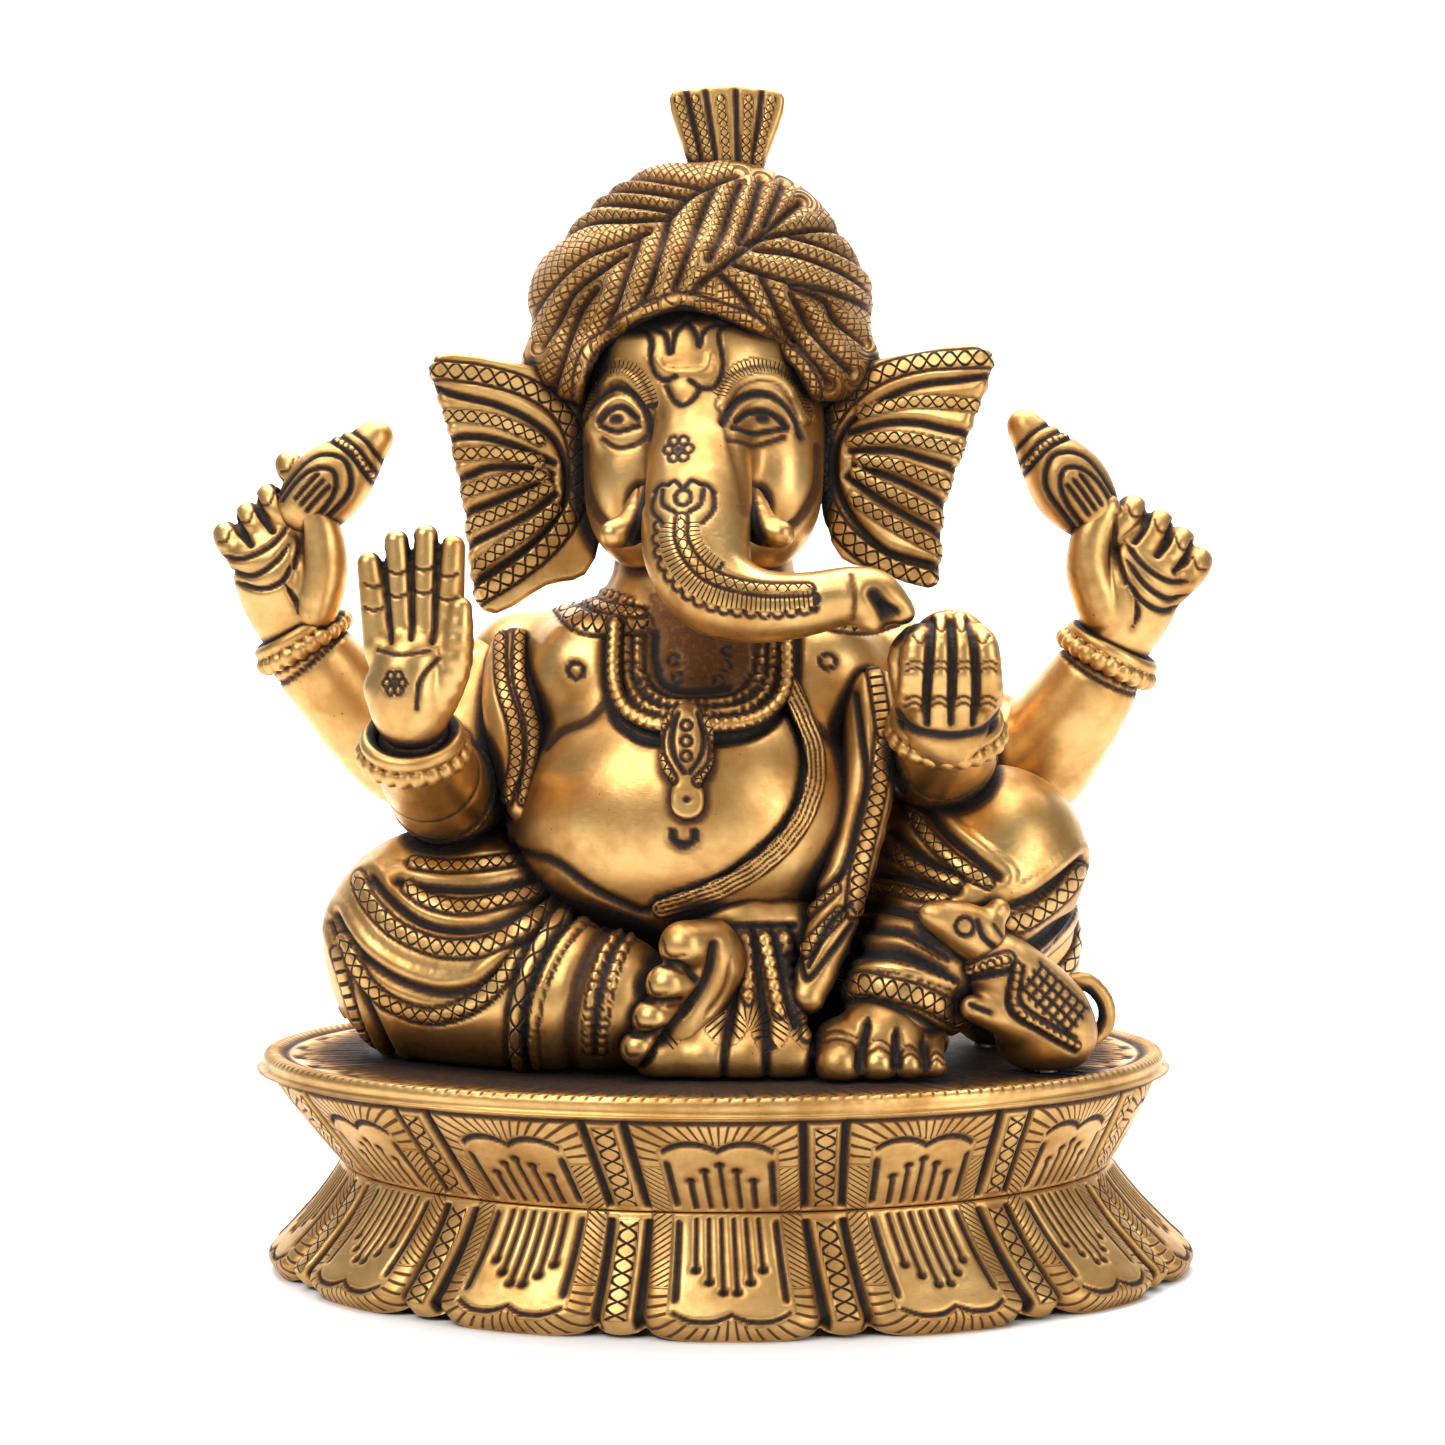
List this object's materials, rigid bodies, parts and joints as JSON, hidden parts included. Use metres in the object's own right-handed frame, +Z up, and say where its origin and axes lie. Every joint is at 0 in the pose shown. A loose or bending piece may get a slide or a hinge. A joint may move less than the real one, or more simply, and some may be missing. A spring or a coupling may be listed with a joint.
{
  "type": "seated ganesha idol",
  "caption": "Cast brass seated Ganesha in a pleated turban, with four arms and a mouse, on an oval lotus pedestal.",
  "frame": {"origin": "centre of the object's extents in plan, at the bottom of the pedestal's foot", "axes": "+Z up, -Y the way the figure faces, +X the figure's left"},
  "size_m": [0.1967, 0.1424, 0.2329],
  "materials": {
    "polished_brass": "polished",
    "chased_brass": "antique, dark in the grooves",
    "fastener_steel": "zinc plated"
  },
  "bodies": {
    "root": {"torso": "polished_brass", "right_leg": "polished_brass", "left_leg": "polished_brass", "right_foot": "polished_brass", "left_foot": "polished_brass", "head": "polished_brass", "trunk": "polished_brass", "right_tusk": "polished_brass", "left_tusk": "polished_brass", "front_right_arm": "polished_brass", "front_left_arm": "polished_brass", "back_right_arm": "polished_brass", "back_left_arm": "polished_brass", "front_right_hand": "polished_brass", "front_left_hand": "polished_brass", "back_right_hand": "polished_brass", "back_left_hand": "polished_brass", "sweet": "polished_brass", "pedestal_lower_tier": "chased_brass", "pedestal_upper_tier": "chased_brass", "pedestal_deck": "chased_brass", "dhoti_pleats": "chased_brass", "right_ear": "chased_brass", "left_ear": "chased_brass", "turban": "chased_brass", "turban_plume": "chased_brass", "front_right_bangle": "chased_brass", "front_left_bangle": "chased_brass", "back_right_bangle": "chased_brass", "back_left_bangle": "chased_brass", "back_right_emblem": "chased_brass", "back_left_emblem": "chased_brass", "necklace": "chased_brass", "pendant": "chased_brass", "sacred_thread": "chased_brass", "shawl_right": "chased_brass", "shawl_left": "chased_brass", "mouse_body": "chased_brass", "mouse_head": "chased_brass", "mouse_tail": "chased_brass", "seat_screw_right": "fastener_steel", "seat_screw_left": "fastener_steel", "seat_screw_rear": "fastener_steel", "seat_screw_mouse": "fastener_steel", "seat_washer_right": "fastener_steel", "seat_washer_left": "fastener_steel", "seat_washer_rear": "fastener_steel", "seat_washer_mouse": "fastener_steel"}
  },
  "joints": []
}
